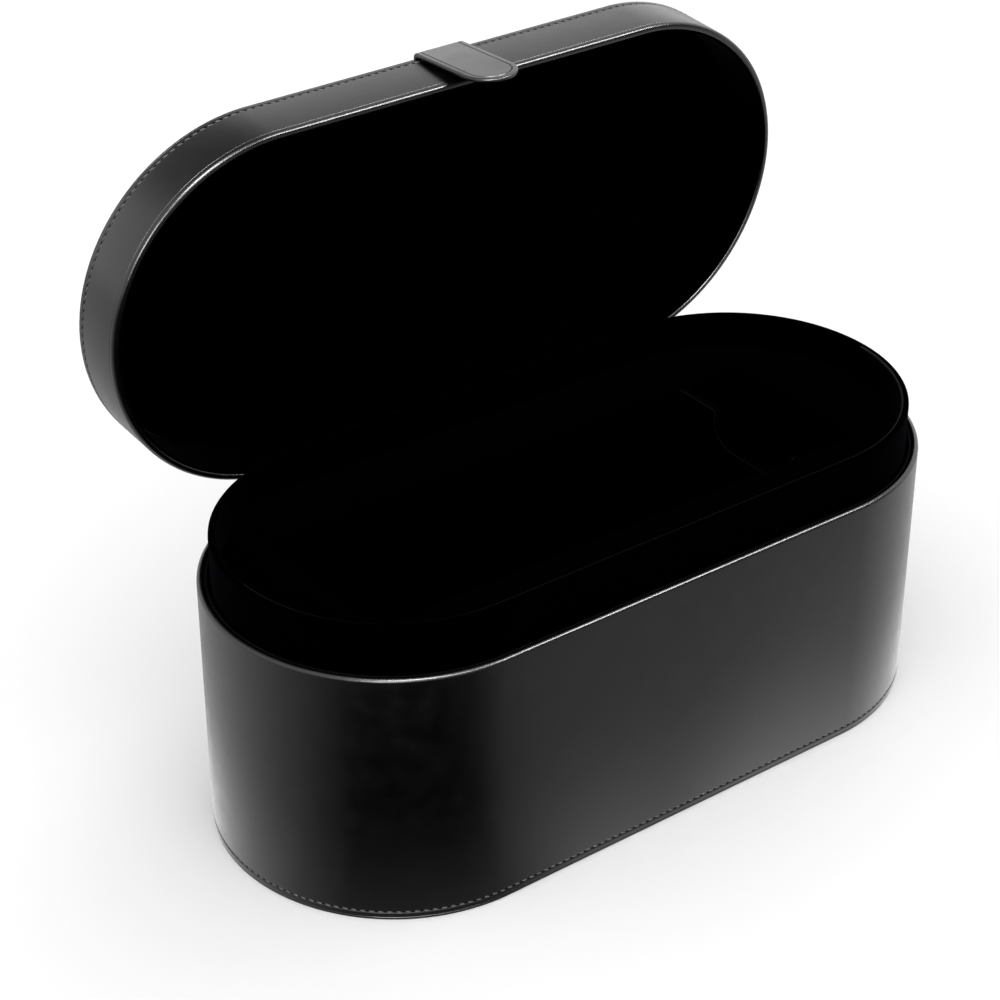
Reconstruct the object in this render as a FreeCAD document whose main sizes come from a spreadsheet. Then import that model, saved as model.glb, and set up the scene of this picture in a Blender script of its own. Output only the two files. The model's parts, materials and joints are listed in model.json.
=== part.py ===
import FreeCAD, Part
import math
import os
import Sketcher

# Oblong hinged storage case in millimetres: a leather-covered case body with a velvet collar and a fitted
# insert, a shallow lid on a soft leather hinge, and a magnetic clasp tab. +Z is up, +X runs along the case,
# -Y is the clasp side, and the origin is the middle of the face it stands on. The lid is modelled standing
# open against its hinge stop; the lid pieces are drawn shut and swung open by their Placement.

sizes = {
    "caseLength": 380.0,
    "caseWidth": 177.0,
    "bodyHeight": 131.5,
    "lidHeight": 30.5,
    "openAngle": 86.6,
    "hingeBehind": 3.8,
    "hingeAbove": 3.5,
    "glueLine": 0.15,
    # leather and boards
    "leatherThick": 1.2,
    "basePanelThick": 1.5,
    "baseBoardThick": 3.0,
    "bodyBoardThick": 4.6,
    "bindingHeight": 2.8,
    "bindingWidth": 2.2,
    "bindingRound": 1.2,
    # ledge and collar
    "ledgeDrop": 0.8,
    "collarInset": 6.3,
    "collarRise": 23.0,
    "collarBoardThick": 2.0,
    "collarRound": 1.4,
    "velvetThick": 0.8,
    "floorPadThick": 3.0,
    # fitted insert
    "deckRise": 4.5,
    "deckThick": 3.0,
    "deckGap": 0.3,
    "wellHalfLength": 139.0,
    "wellHalfWidth": 42.5,
    "wellBoardThick": 3.0,
    "partitionAlong": 102.5,
    "notchAcross": -12.5,
    "notchHalfWidth": 28.0,
    "notchDepth": 17.5,
    "notchRound": 13.0,
    # lid
    "lidGap": 0.3,
    "lidPanelThick": 1.2,
    "lidTopBoardThick": 1.6,
    "lidWallBoardThick": 2.4,
    # clasp
    "claspAlong": 3.7,
    "claspWidth": 27.0,
    "claspReach": 51.5,
    "claspTilt": 6.5,
    "claspStandOff": 0.3,
    "claspOuterThick": 0.8,
    "claspCoreThick": 0.8,
    "claspInnerThick": 0.5,
    "claspRootLength": 34.0,
    "claspCoreInset": 1.6,
    "magnetRadius": 6.0,
    "strikeRadius": 5.5,
    "strikeThick": 1.2,
    "strikeDown": 9.0,
    # soft hinge
    "stripLength": 190.0,
    "stripLeather": 1.0,
    "stripVelvet": 0.6,
    "stripLeg": 18.0,
    "liningStart": 50.0,
}

doc = FreeCAD.newDocument("StorageCase")
sheet = doc.addObject("Spreadsheet::Sheet", "Sizes")
for row, (alias, value) in enumerate(sizes.items(), start=1):
    sheet.set("A%d" % row, alias)
    sheet.set("B%d" % row, str(value))
    sheet.setAlias("B%d" % row, alias)
doc.recompute()

subParts = []

# Heights and insets that several pieces share, as formulas on the sheet's aliases
bodyBoardInset = "($leatherThick + $glueLine)"
bindingFoot = "($bodyHeight - $bindingHeight)"
strikeUp = "($bodyHeight - $strikeDown)"
collarTop = "($bodyHeight + $collarRise)"
baseTop = "($basePanelThick + $baseBoardThick)"
floorTop = "(%s + $floorPadThick)" % baseTop
collarBoardOuter = "($collarInset + $velvetThick)"
collarBoardInner = "(%s + $collarBoardThick)" % collarBoardOuter
collarInner = "(%s + $velvetThick)" % collarBoardInner
deckTop = "($bodyHeight + $deckRise)"
deckFoot = "(%s - $velvetThick - $deckThick)" % deckTop
lidMouth = "($bodyHeight + $lidGap)"
lidBindingTop = "(%s + $bindingHeight)" % lidMouth
lidTop = "($bodyHeight + $lidHeight)"
lidBoardTop = "(%s - $lidPanelThick)" % lidTop
lidBoardFoot = "(%s - $lidTopBoardThick)" % lidBoardTop
lidLiningOuter = "($leatherThick + 2 * $glueLine + $lidWallBoardThick)"
lidLiningInner = "(%s + $velvetThick)" % lidLiningOuter
claspThick = "($claspOuterThick + $claspCoreThick + $claspInnerThick)"


def sized(text):
    """Points a formula's aliases at the sheet."""
    return text.replace("$", "Sizes.")


def measure(text):
    """The present value of a formula."""
    return float(sheet.evalExpression(sized(text)))


def keep(piece, label, placement=None):
    """Names a finished sub-part and, for one drawn in another place, moves it there."""
    piece.Label = label
    if placement is not None:
        piece.Placement = placement
    subParts.append(piece)


def turnAboutX(y, z, degrees):
    """A turn about a line along X through (y, z)."""
    vec = FreeCAD.Vector
    return FreeCAD.Placement(vec(0, 0, 0), FreeCAD.Rotation(vec(1, 0, 0), degrees), vec(0, y, z))


hingeY = measure("$caseWidth / 2 + $hingeBehind")
hingeZ = measure("$bodyHeight + $hingeAbove")
claspY = measure("-$caseWidth / 2")
claspZ = measure("%s - $claspStandOff" % lidTop)
lidOpen = turnAboutX(hingeY, hingeZ, -measure("$openAngle"))
claspAtBend = FreeCAD.Placement(FreeCAD.Vector(measure("$claspAlong"), claspY, claspZ), FreeCAD.Rotation())
claspLifted = turnAboutX(claspY, claspZ, -measure("$claspTilt"))
claspPlace = lidOpen.multiply(claspLifted).multiply(claspAtBend)


# Sketches and features
def newSketch(body, role, lift):
    """A sketch on one of the body's own origin planes, lifted along the plane's normal by a formula."""
    sketch = body.newObject("Sketcher::SketchObject", body.Name + "Sketch")
    plane = next(f for f in body.Origin.OriginFeatures if f.Role == role)
    sketch.AttachmentSupport = [(plane, "")]
    sketch.MapMode = "FlatFace"
    sketch.setExpression("AttachmentOffset.Base.z", sized(lift))
    return sketch


def drive(sketch, name, formula, kind, *where):
    """Adds a named dimension whose value follows a formula."""
    index = sketch.addConstraint(Sketcher.Constraint(kind, *where, measure(formula)))
    sketch.renameConstraint(index, name)
    sketch.setExpression("Constraints." + name, sized(formula))


def drawOblong(sketch, inset, name):
    """The case's outline, two straight sides and two round ends, drawn in from the outside by an inset."""
    radius = measure("$caseWidth / 2 - %s" % inset)
    centre = measure("($caseLength - $caseWidth) / 2")
    vec = FreeCAD.Vector
    front = sketch.addGeometry(Part.LineSegment(vec(-centre, -radius, 0), vec(centre, -radius, 0)))
    rightEnd = Part.Circle(vec(centre, 0, 0), vec(0, 0, 1), radius)
    right = sketch.addGeometry(Part.ArcOfCircle(rightEnd, -math.pi / 2, math.pi / 2))
    back = sketch.addGeometry(Part.LineSegment(vec(centre, radius, 0), vec(-centre, radius, 0)))
    leftEnd = Part.Circle(vec(-centre, 0, 0), vec(0, 0, 1), radius)
    left = sketch.addGeometry(Part.ArcOfCircle(leftEnd, math.pi / 2, 3 * math.pi / 2))
    for one, other in ((front, right), (right, back), (back, left), (left, front)):
        sketch.addConstraint(Sketcher.Constraint("Tangent", one, 2, other, 1))
    sketch.addConstraint(Sketcher.Constraint("Symmetric", left, 3, right, 3, -1, 1))
    sketch.addConstraint(Sketcher.Constraint("PointOnObject", right, 3, -1))
    sketch.addConstraint(Sketcher.Constraint("Equal", left, right))
    drive(sketch, name + "Centres", "$caseLength - $caseWidth", "DistanceX", left, 3, right, 3)
    drive(sketch, name + "Radius", "$caseWidth / 2 - %s" % inset, "Radius", right)


def drawBlock(sketch, low, high, name):
    """A rectangle between two corners, each given by two formulas."""
    vec = FreeCAD.Vector
    x0, y0, x1, y1 = [measure(formula) for formula in low + high]
    corners = [vec(x0, y0, 0), vec(x1, y0, 0), vec(x1, y1, 0), vec(x0, y1, 0)]
    sides = [sketch.addGeometry(Part.LineSegment(corners[i], corners[(i + 1) % 4])) for i in range(4)]
    for i, side in enumerate(sides):
        sketch.addConstraint(Sketcher.Constraint("Coincident", side, 2, sides[(i + 1) % 4], 1))
        sketch.addConstraint(Sketcher.Constraint("Vertical" if i % 2 else "Horizontal", side))
    drive(sketch, name + "Left", low[0], "DistanceX", -1, 1, sides[0], 1)
    drive(sketch, name + "Foot", low[1], "DistanceY", -1, 1, sides[0], 1)
    drive(sketch, name + "Right", high[0], "DistanceX", -1, 1, sides[2], 1)
    drive(sketch, name + "Head", high[1], "DistanceY", -1, 1, sides[2], 1)


def drawDisc(sketch, up, radius):
    """A circle on the sketch's upright axis."""
    vec = FreeCAD.Vector
    disc = sketch.addGeometry(Part.Circle(vec(0, measure(up), 0), vec(0, 0, 1), measure(radius)))
    sketch.addConstraint(Sketcher.Constraint("PointOnObject", disc, 3, -2))
    drive(sketch, "discUp", up, "DistanceY", -1, 1, disc, 3)
    drive(sketch, "discRadius", radius, "Radius", disc)


def drawTongue(sketch, radius):
    """The clasp's outline: straight sides down from the bend, and a round end of that radius."""
    half = measure(radius)
    down = measure("$claspWidth / 2 - $claspReach")
    vec = FreeCAD.Vector
    head = sketch.addGeometry(Part.LineSegment(vec(half, 0, 0), vec(-half, 0, 0)))
    left = sketch.addGeometry(Part.LineSegment(vec(-half, 0, 0), vec(-half, down, 0)))
    circle = Part.Circle(vec(0, down, 0), vec(0, 0, 1), half)
    end = sketch.addGeometry(Part.ArcOfCircle(circle, math.pi, 2 * math.pi))
    right = sketch.addGeometry(Part.LineSegment(vec(half, down, 0), vec(half, 0, 0)))
    sketch.addConstraint(Sketcher.Constraint("Coincident", head, 2, left, 1))
    sketch.addConstraint(Sketcher.Constraint("Tangent", left, 2, end, 1))
    sketch.addConstraint(Sketcher.Constraint("Tangent", end, 2, right, 1))
    sketch.addConstraint(Sketcher.Constraint("Coincident", right, 2, head, 1))
    sketch.addConstraint(Sketcher.Constraint("Vertical", left))
    sketch.addConstraint(Sketcher.Constraint("Horizontal", head))
    sketch.addConstraint(Sketcher.Constraint("PointOnObject", head, 1, -1))
    sketch.addConstraint(Sketcher.Constraint("PointOnObject", end, 3, -2))
    drive(sketch, "endRadius", radius, "Radius", end)
    drive(sketch, "endDown", "$claspWidth / 2 - $claspReach", "DistanceY", -1, 1, end, 3)


def addPad(body, sketch, length):
    pad = body.newObject("PartDesign::Pad", body.Name + "Pad")
    pad.Profile = sketch
    pad.setExpression("Length", sized(length))
    doc.recompute()
    return pad


def addPocket(body, sketch, length, volume):
    """Cuts a pocket, and turns it round if it points away from the solid."""
    before = body.Shape.Volume
    pocket = body.newObject("PartDesign::Pocket", body.Name + "Pocket")
    pocket.Profile = sketch
    pocket.setExpression("Length", sized(length))
    for turned in (False, True):
        pocket.Reversed = turned
        doc.recompute()
        if abs(before - body.Shape.Volume - volume) < 0.03 * volume:
            return pocket
    raise RuntimeError("%s: the pocket did not cut what it should" % body.Name)


def addRounding(body, edges, radius):
    """Rounds those of the body's edges that pass a test."""
    base = body.Tip
    names = ["Edge%d" % (i + 1) for i, edge in enumerate(base.Shape.Edges) if edges(edge)]
    rounding = body.newObject("PartDesign::Fillet", body.Name + "Rounding")
    rounding.Base = (base, names)
    rounding.setExpression("Radius", sized(radius))
    doc.recompute()


def levelLoop(height, inset):
    """A test for the edges of the oblong loop that lies at a height and an inset."""
    level = measure(height)
    half = measure("$caseWidth / 2 - %s" % inset)
    centre = measure("($caseLength - $caseWidth) / 2")

    def test(edge):
        box = edge.BoundBox
        flat = abs(box.ZMin - level) < 0.01 and abs(box.ZMax - level) < 0.01
        middle = edge.valueAt((edge.FirstParameter + edge.LastParameter) / 2)
        beyond = max(abs(middle.x) - centre, 0)
        return flat and abs(math.hypot(beyond, middle.y) - half) < 0.05
    return test


def ovalPiece(name, *steps):
    """A plate or ring with the case's outline. Each step is its foot, height, outer inset and inner inset."""
    body = doc.addObject("PartDesign::Body", name)
    for foot, height, outer, inner in steps:
        sketch = newSketch(body, "XY_Plane", foot)
        drawOblong(sketch, outer, "outer")
        if inner:
            drawOblong(sketch, inner, "inner")
        addPad(body, sketch, height)
    return body


def block(name, label, low, high):
    """A plain board between two corners, each given by three formulas."""
    box = doc.addObject("Part::Box", name)
    for side, axis, start, end in zip(("Length", "Width", "Height"), "xyz", low, high):
        box.setExpression(side, sized("%s - (%s)" % (end, start)))
        box.setExpression("Placement.Base." + axis, sized(start))
    keep(box, label)


# Case body: base, wall and rim
def makeBase():
    keep(ovalPiece("BasePanel", ("0", "$basePanelThick", "0", "")), "base_panel")
    keep(ovalPiece("BaseBoard", ("$basePanelThick", "$baseBoardThick", bodyBoardInset, "")), "base_board")


def drawStrike(body, lift, radius):
    """The strike plate's circle, in line with the clasp."""
    sketch = newSketch(body, "XZ_Plane", lift)
    sketch.setExpression("AttachmentOffset.Base.x", sized("$claspAlong"))
    drawDisc(sketch, strikeUp, radius)
    return sketch


def makeWall():
    """Leather on the outside, bent board behind it, with a shallow pocket for the clasp's strike plate."""
    skinHeight = "%s - $basePanelThick" % bindingFoot
    keep(ovalPiece("BodySkin", ("$basePanelThick", skinHeight, "0", "$leatherThick")), "body_skin")
    inner = "(%s + $bodyBoardThick)" % bodyBoardInset
    board = ovalPiece("WallBoard", (baseTop, "%s - %s" % (bindingFoot, baseTop), bodyBoardInset, inner))
    deep = "($strikeThick + $glueLine)"
    wide = "($strikeRadius + $glueLine)"
    sketch = drawStrike(board, "$caseWidth / 2 - %s" % bodyBoardInset, wide)
    addPocket(board, sketch, deep, math.pi * measure(wide) ** 2 * measure(deep))
    keep(board, "body_wall_board")
    plate = doc.addObject("PartDesign::Body", "StrikePlate")
    sketch = drawStrike(plate, "$caseWidth / 2 - %s - %s" % (bodyBoardInset, deep), "$strikeRadius")
    addPad(plate, sketch, "$strikeThick")
    keep(plate, "strike_plate")


def makeRim():
    """The turned leather edge of the mouth, and the narrow velvet ledge inside it."""
    binding = ovalPiece("RimBinding", (bindingFoot, "$bindingHeight", "0", "$bindingWidth"))
    addRounding(binding, levelLoop("$bodyHeight", "0"), "$bindingRound")
    keep(binding, "rim_binding")
    outer = "($bindingWidth + $glueLine)"
    inner = "($collarInset - $glueLine)"
    keep(ovalPiece("LedgeStrip", (bindingFoot, "$bindingHeight - $ledgeDrop", outer, inner)), "ledge_strip")


# Case body: collar, floor and fitted insert
def makeCollar():
    """The inner wall that stands proud of the rim, and the velvet sleeve folded over it."""
    boardTop = "(%s - $velvetThick)" % collarTop
    glued = "(%s + $glueLine)" % collarBoardOuter
    under = "(%s - $glueLine)" % collarBoardInner
    keep(ovalPiece("CollarBoard", (baseTop, "%s - %s" % (boardTop, baseTop), glued, under)), "collar_board")
    rise = "%s - %s" % (collarTop, baseTop)
    sleeve = ovalPiece("CollarVelvet", (baseTop, rise, "$collarInset", collarInner))
    hollow = newSketch(sleeve, "XY_Plane", baseTop)
    drawOblong(hollow, collarBoardOuter, "outer")
    drawOblong(hollow, collarBoardInner, "inner")
    outer = measure("$caseWidth / 2 - %s" % collarBoardOuter)
    inner = measure("$caseWidth / 2 - %s" % collarBoardInner)
    straight = measure("2 * ($caseLength - $caseWidth)") * (outer - inner)
    ends = math.pi * (outer ** 2 - inner ** 2)
    height = "(%s - %s)" % (boardTop, baseTop)
    addPocket(sleeve, hollow, height, (straight + ends) * measure(height))
    addRounding(sleeve, levelLoop(collarTop, "$collarInset"), "$collarRound")
    addRounding(sleeve, levelLoop(collarTop, collarInner), "$collarRound")
    keep(sleeve, "collar_velvet")


def makeFloorPad():
    outer = "(%s + $glueLine)" % collarInner
    keep(ovalPiece("FloorPad", (baseTop, "$floorPadThick", outer, "")), "floor_pad")


def makeDeck(name, label, foot, height):
    """A plate that fills the collar, with one long opening over the wells."""
    body = doc.addObject("PartDesign::Body", name)
    sketch = newSketch(body, "XY_Plane", foot)
    drawOblong(sketch, "(%s + $deckGap)" % collarInner, "outer")
    low = ("-$wellHalfLength", "-$wellHalfWidth")
    high = ("$wellHalfLength", "$wellHalfWidth")
    drawBlock(sketch, low, high, "well")
    addPad(body, sketch, height)
    keep(body, label)


def makeWells():
    """Four boards that hang from the deck's opening down to the floor."""
    long0 = "-$wellHalfLength"
    long1 = "$wellHalfLength"
    wide0 = "-$wellHalfWidth"
    wide1 = "$wellHalfWidth"
    board = " - $wellBoardThick"
    beyond = " + $wellBoardThick"
    floor = floorTop
    roof = deckFoot
    left = long0 + board
    right = long1 + beyond
    block("WellFront", "well_wall_front", (left, wide0 + board, floor), (right, wide0, roof))
    block("WellBack", "well_wall_back", (left, wide1, floor), (right, wide1 + beyond, roof))
    block("WellLeft", "well_wall_left", (long0 + board, wide0, floor), (long0, wide1, roof))
    block("WellRight", "well_wall_right", (long1, wide0, floor), (long1 + beyond, wide1, roof))


def makePartition():
    """The board between the two wells, with a rounded cradle cut in its top edge."""
    body = doc.addObject("PartDesign::Body", "Partition")
    sketch = newSketch(body, "YZ_Plane", "$partitionAlong - $wellBoardThick / 2")
    low = ("-$wellHalfWidth + $glueLine", floorTop)
    high = ("$wellHalfWidth - $glueLine", deckTop)
    drawBlock(sketch, low, high, "board")
    addPad(body, sketch, "$wellBoardThick")
    cradle = newSketch(body, "YZ_Plane", "$partitionAlong - $wellBoardThick / 2")
    foot = "(%s - $notchDepth)" % deckTop
    left = "($notchAcross - $notchHalfWidth)"
    right = "($notchAcross + $notchHalfWidth)"
    drawBlock(cradle, (left, foot), (right, deckTop + " + $velvetThick"), "cradle")
    cut = measure("2 * $notchHalfWidth * $notchDepth * $wellBoardThick")
    addPocket(body, cradle, "$wellBoardThick", cut)
    bottom = measure(foot)

    def alongBottomCorner(edge):
        box = edge.BoundBox
        across = box.YMax - box.YMin < 0.01
        return across and abs(box.ZMin - bottom) < 0.01 and abs(box.ZMax - bottom) < 0.01
    addRounding(body, alongBottomCorner, "$notchRound")
    keep(body, "well_partition")


# Lid, drawn shut and swung open
def makeLid():
    skinHeight = "%s - %s" % (lidBoardTop, lidBindingTop)
    skin = ovalPiece("LidSkin", (lidBindingTop, skinHeight, "0", "$leatherThick"))
    keep(skin, "lid_skin", lidOpen)
    keep(ovalPiece("LidTopPanel", (lidBoardTop, "$lidPanelThick", "0", "")), "lid_top_panel", lidOpen)
    topBoard = ovalPiece("LidTopBoard", (lidBoardFoot, "$lidTopBoardThick", bodyBoardInset, ""))
    keep(topBoard, "lid_top_board", lidOpen)
    boardInner = "(%s + $lidWallBoardThick)" % bodyBoardInset
    boardHeight = "%s - %s" % (lidBoardFoot, lidBindingTop)
    wallBoard = ovalPiece("LidWallBoard", (lidBindingTop, boardHeight, bodyBoardInset, boardInner))
    keep(wallBoard, "lid_wall_board", lidOpen)
    binding = ovalPiece("LidBinding", (lidMouth, "$bindingHeight", "0", "$bindingWidth"))
    addRounding(binding, levelLoop(lidMouth, "0"), "$bindingRound")
    keep(binding, "lid_mouth_binding", lidOpen)


def makeLidLining():
    """Velvet inside the skirt, with a foot that covers the board's edge, and a pad under the top."""
    liningFoot = "(%s + $ledgeDrop)" % lidMouth
    wall = (liningFoot, "%s - %s" % (lidBoardFoot, liningFoot), lidLiningOuter, lidLiningInner)
    footOuter = "($bindingWidth + $glueLine)"
    foot = (liningFoot, "$bindingHeight - $ledgeDrop", footOuter, lidLiningInner)
    keep(ovalPiece("LidSkirtLining", wall, foot), "lid_skirt_lining", lidOpen)
    padOuter = "(%s + $glueLine)" % lidLiningInner
    padFoot = "%s - $velvetThick" % lidBoardFoot
    keep(ovalPiece("LidTopLining", (padFoot, "$velvetThick", padOuter, "")), "lid_top_lining", lidOpen)


# Clasp: a leather tongue that comes over the lid's front edge, with a magnet in its round end
def makeClaspRoot():
    body = doc.addObject("PartDesign::Body", "ClaspRoot")
    sketch = newSketch(body, "XY_Plane", lidTop)
    front = "-$caseWidth / 2"
    low = ("$claspAlong - $claspWidth / 2", front)
    high = ("$claspAlong + $claspWidth / 2", front + " + $claspRootLength")
    drawBlock(sketch, low, high, "root")
    addPad(body, sketch, claspThick)
    keep(body, "clasp_root", lidOpen)


def makeBend(name, label, inner, outer, sweep, length, placement):
    """A curved sheet: part of a tube about X, from its top towards -Y."""
    tubes = []
    for part, radius in (("Outer", outer), ("Inner", inner)):
        tube = doc.addObject("Part::Cylinder", name + part)
        tube.setExpression("Radius", sized(radius))
        tube.setExpression("Height", sized(length))
        tube.setExpression("Angle", sized(sweep))
        tubes.append(tube)
    bend = doc.addObject("Part::Cut", name)
    bend.Base, bend.Tool = tubes
    vec = FreeCAD.Vector
    alongX = FreeCAD.Rotation(vec(0, 0, 1), vec(0, -1, 0), vec(1, 0, 0), "ZXY")
    start = FreeCAD.Placement(vec(-measure(length) / 2, 0, 0), alongX)
    if label:
        keep(bend, label, placement.multiply(start))
    else:
        bend.Placement = placement.multiply(start)
    return bend


def makeClaspTongue():
    layers = [
        ("ClaspInner", "clasp_inner_leather", "$claspStandOff", "$claspInnerThick"),
        ("ClaspCore", "clasp_core", "($claspStandOff + $claspInnerThick)", "$claspCoreThick"),
        ("ClaspOuter", "clasp_outer_leather",
         "($claspStandOff + $claspInnerThick + $claspCoreThick)", "$claspOuterThick"),
    ]
    endDown = "($claspWidth / 2 - $claspReach)"
    for name, label, lift, thick in layers:
        body = doc.addObject("PartDesign::Body", name)
        sketch = newSketch(body, "XZ_Plane", lift)
        inset = "$claspCoreInset" if name == "ClaspCore" else "0"
        drawTongue(sketch, "($claspWidth / 2 - %s)" % inset)
        addPad(body, sketch, thick)
        if name == "ClaspCore":
            wide = "($magnetRadius + $glueLine)"
            sketch = newSketch(body, "XZ_Plane", lift)
            drawDisc(sketch, endDown, wide)
            addPocket(body, sketch, thick, math.pi * measure(wide) ** 2 * measure(thick))
        keep(body, label, claspPlace)
    magnet = doc.addObject("PartDesign::Body", "ClaspMagnet")
    sketch = newSketch(magnet, "XZ_Plane", layers[1][2])
    drawDisc(sketch, endDown, "$magnetRadius")
    addPad(magnet, sketch, "$claspCoreThick")
    keep(magnet, "clasp_magnet", claspPlace)


# Soft hinge: one leather strip outside and one velvet strip inside, both bent round the hinge line
def makeHingeStrips():
    vec = FreeCAD.Vector
    axis = FreeCAD.Placement(vec(0, hingeY, hingeZ), FreeCAD.Rotation())
    spare = 90 - measure("$openAngle")
    bendStart = turnAboutX(0, 0, spare)
    outer = "$hingeBehind"
    inner = "($hingeBehind - $stripLeather)"
    bend = makeBend("StripBend", "", inner, outer, "$openAngle", "$stripLength", axis.multiply(bendStart))
    wallLeg = doc.addObject("Part::Box", "StripWallLeg")
    lidLeg = doc.addObject("Part::Box", "StripLidLeg")
    for leg in (wallLeg, lidLeg):
        leg.setExpression("Length", "Sizes.stripLength")
        leg.setExpression("Width", "Sizes.stripLeather")
        leg.setExpression("Height", "Sizes.stripLeg")
    half = measure("$stripLength / 2")
    reach = measure(outer)
    wallLeg.Placement = FreeCAD.Placement(vec(-half, hingeY - reach, hingeZ - measure("$stripLeg")),
                                          FreeCAD.Rotation())
    closedLeg = FreeCAD.Placement(vec(-half, hingeY - reach, hingeZ), FreeCAD.Rotation())
    lidLeg.Placement = lidOpen.multiply(closedLeg)
    strip = doc.addObject("Part::MultiFuse", "HingeStrip")
    strip.Shapes = [wallLeg, bend, lidLeg]
    keep(strip, "hinge_strip")
    liningInner = "($hingeBehind + $glueLine)"
    liningOuter = "($hingeBehind + $glueLine + $stripVelvet)"
    side = turnAboutX(0, 0, measure("$liningStart"))
    lining = makeBend("LiningBend", "", liningInner, liningOuter, "90 - $liningStart", "$stripLength",
                      axis.multiply(side))
    liningLeg = doc.addObject("Part::Box", "LiningLeg")
    liningLeg.setExpression("Length", "Sizes.stripLength")
    liningLeg.setExpression("Width", "Sizes.stripVelvet")
    liningLeg.setExpression("Height", "Sizes.hingeAbove")
    liningLeg.Placement = FreeCAD.Placement(vec(-half, hingeY - measure(liningOuter),
                                                hingeZ - measure("$hingeAbove")), FreeCAD.Rotation())
    hingeLining = doc.addObject("Part::Fuse", "HingeLining")
    hingeLining.Base = lining
    hingeLining.Tool = liningLeg
    keep(hingeLining, "hinge_lining")


def checkAndExport():
    """Stops on any failed object, then writes one file for each sub-part."""
    doc.recompute()
    for piece in doc.Objects:
        if "Invalid" in piece.State or "Error" in piece.State:
            raise RuntimeError("%s failed to build" % piece.Name)
    os.makedirs("parts", exist_ok=True)
    for piece in subParts:
        shape = piece.Shape
        if shape.isNull() or not shape.isValid() or not shape.Solids:
            raise RuntimeError("%s has no valid solid" % piece.Label)
        shape.exportStep("parts/%s.step" % piece.Label)
        print("%-22s %10.1f mm3" % (piece.Label, shape.Volume))


makeBase()
makeWall()
makeRim()
makeCollar()
makeFloorPad()
makeDeck("Deck", "insert_deck", deckFoot, "$deckThick")
makeDeck("DeckVelvet", "deck_velvet", "(%s - $velvetThick)" % deckTop, "$velvetThick")
makeWells()
makePartition()
makeLid()
makeLidLining()
makeClaspRoot()
makeBend("ClaspBend", "clasp_bend", "$claspStandOff", "($claspStandOff + %s)" % claspThick,
         "90 - $claspTilt", "$claspWidth", lidOpen.multiply(claspAtBend))
makeClaspTongue()
makeHingeStrips()
checkAndExport()
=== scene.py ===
import json
import math

import bmesh
import bpy
from mathutils import Matrix, Vector


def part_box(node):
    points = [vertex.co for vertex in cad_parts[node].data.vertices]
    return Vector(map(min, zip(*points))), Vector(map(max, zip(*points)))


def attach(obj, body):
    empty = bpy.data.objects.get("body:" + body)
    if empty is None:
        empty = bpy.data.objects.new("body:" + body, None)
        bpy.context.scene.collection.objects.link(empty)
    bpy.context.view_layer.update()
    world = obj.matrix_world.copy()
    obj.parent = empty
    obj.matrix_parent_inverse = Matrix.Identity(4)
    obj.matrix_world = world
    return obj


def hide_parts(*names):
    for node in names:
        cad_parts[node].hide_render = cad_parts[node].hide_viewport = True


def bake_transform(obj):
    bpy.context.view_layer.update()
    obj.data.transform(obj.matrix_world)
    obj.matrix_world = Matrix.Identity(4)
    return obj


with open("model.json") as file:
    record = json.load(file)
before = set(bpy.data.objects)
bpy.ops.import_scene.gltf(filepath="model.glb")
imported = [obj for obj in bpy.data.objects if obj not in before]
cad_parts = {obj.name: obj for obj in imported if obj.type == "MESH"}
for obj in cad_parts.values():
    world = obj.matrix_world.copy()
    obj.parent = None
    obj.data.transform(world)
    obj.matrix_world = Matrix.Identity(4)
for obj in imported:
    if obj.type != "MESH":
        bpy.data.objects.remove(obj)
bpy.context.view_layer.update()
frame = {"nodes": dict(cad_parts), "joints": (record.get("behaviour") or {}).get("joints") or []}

mm = 0.001
oneSpot = 0.001 * mm    # corners nearer than this are one corner
scene = bpy.context.scene
joints = {joint["name"]: joint for joint in frame["joints"]}
print("frame loaded with", len(frame["nodes"]), "nodes")

# the case stands on z = 0 with its long way along X; its outline is two half circles and two straight sides
outline = {
    "arcSides": 128,      # facets in the two round ends together
    "straightCuts": 12,   # cuts along each straight side
    "roundSteps": 4,      # facets across a rounded edge
}
skinLow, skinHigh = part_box("body_skin")
endRadius = skinHigh.y
endCentre = skinHigh.x - skinHigh.y
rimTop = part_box("rim_binding")[1].z
hinge = Vector(joints["lid_hinge"]["pos_m"])
openAngle = math.radians(86.6)    # how far the lid stands open at rest
closedLidFoot = rimTop + 0.3 * mm     # the lid shut, above the rim
closedLidTop = rimTop + 30.5 * mm


def startClean():
    if bpy.context.object and bpy.context.object.mode != "OBJECT":
        bpy.ops.object.mode_set(mode="OBJECT")
    bpy.ops.object.select_all(action="DESELECT")


def editPiece(piece):
    startClean()
    bpy.context.view_layer.objects.active = piece
    piece.select_set(True)
    bpy.ops.object.mode_set(mode="EDIT")


def pickVerts(piece, wanted):
    # picks the corners that pass the test, and the edges and faces between them
    bpy.ops.mesh.select_mode(type="VERT")
    mesh = bmesh.from_edit_mesh(piece.data)
    for vert in mesh.verts:
        vert.select = bool(wanted(vert.co))
    mesh.select_flush_mode()
    bmesh.update_edit_mesh(piece.data)


def pickEdges(piece, wanted):
    bpy.ops.mesh.select_all(action="DESELECT")
    bpy.ops.mesh.select_mode(type="EDGE")
    mesh = bmesh.from_edit_mesh(piece.data)
    for edge in mesh.edges:
        if wanted(edge.verts[0].co, edge.verts[1].co):
            edge.select_set(True)
    bmesh.update_edit_mesh(piece.data)


def pickFaces(piece, wanted):
    bpy.ops.mesh.select_all(action="DESELECT")
    bpy.ops.mesh.select_mode(type="FACE")
    mesh = bmesh.from_edit_mesh(piece.data)
    for face in mesh.faces:
        if wanted(face.calc_center_median(), face.normal):
            face.select_set(True)
    bmesh.update_edit_mesh(piece.data)


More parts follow.
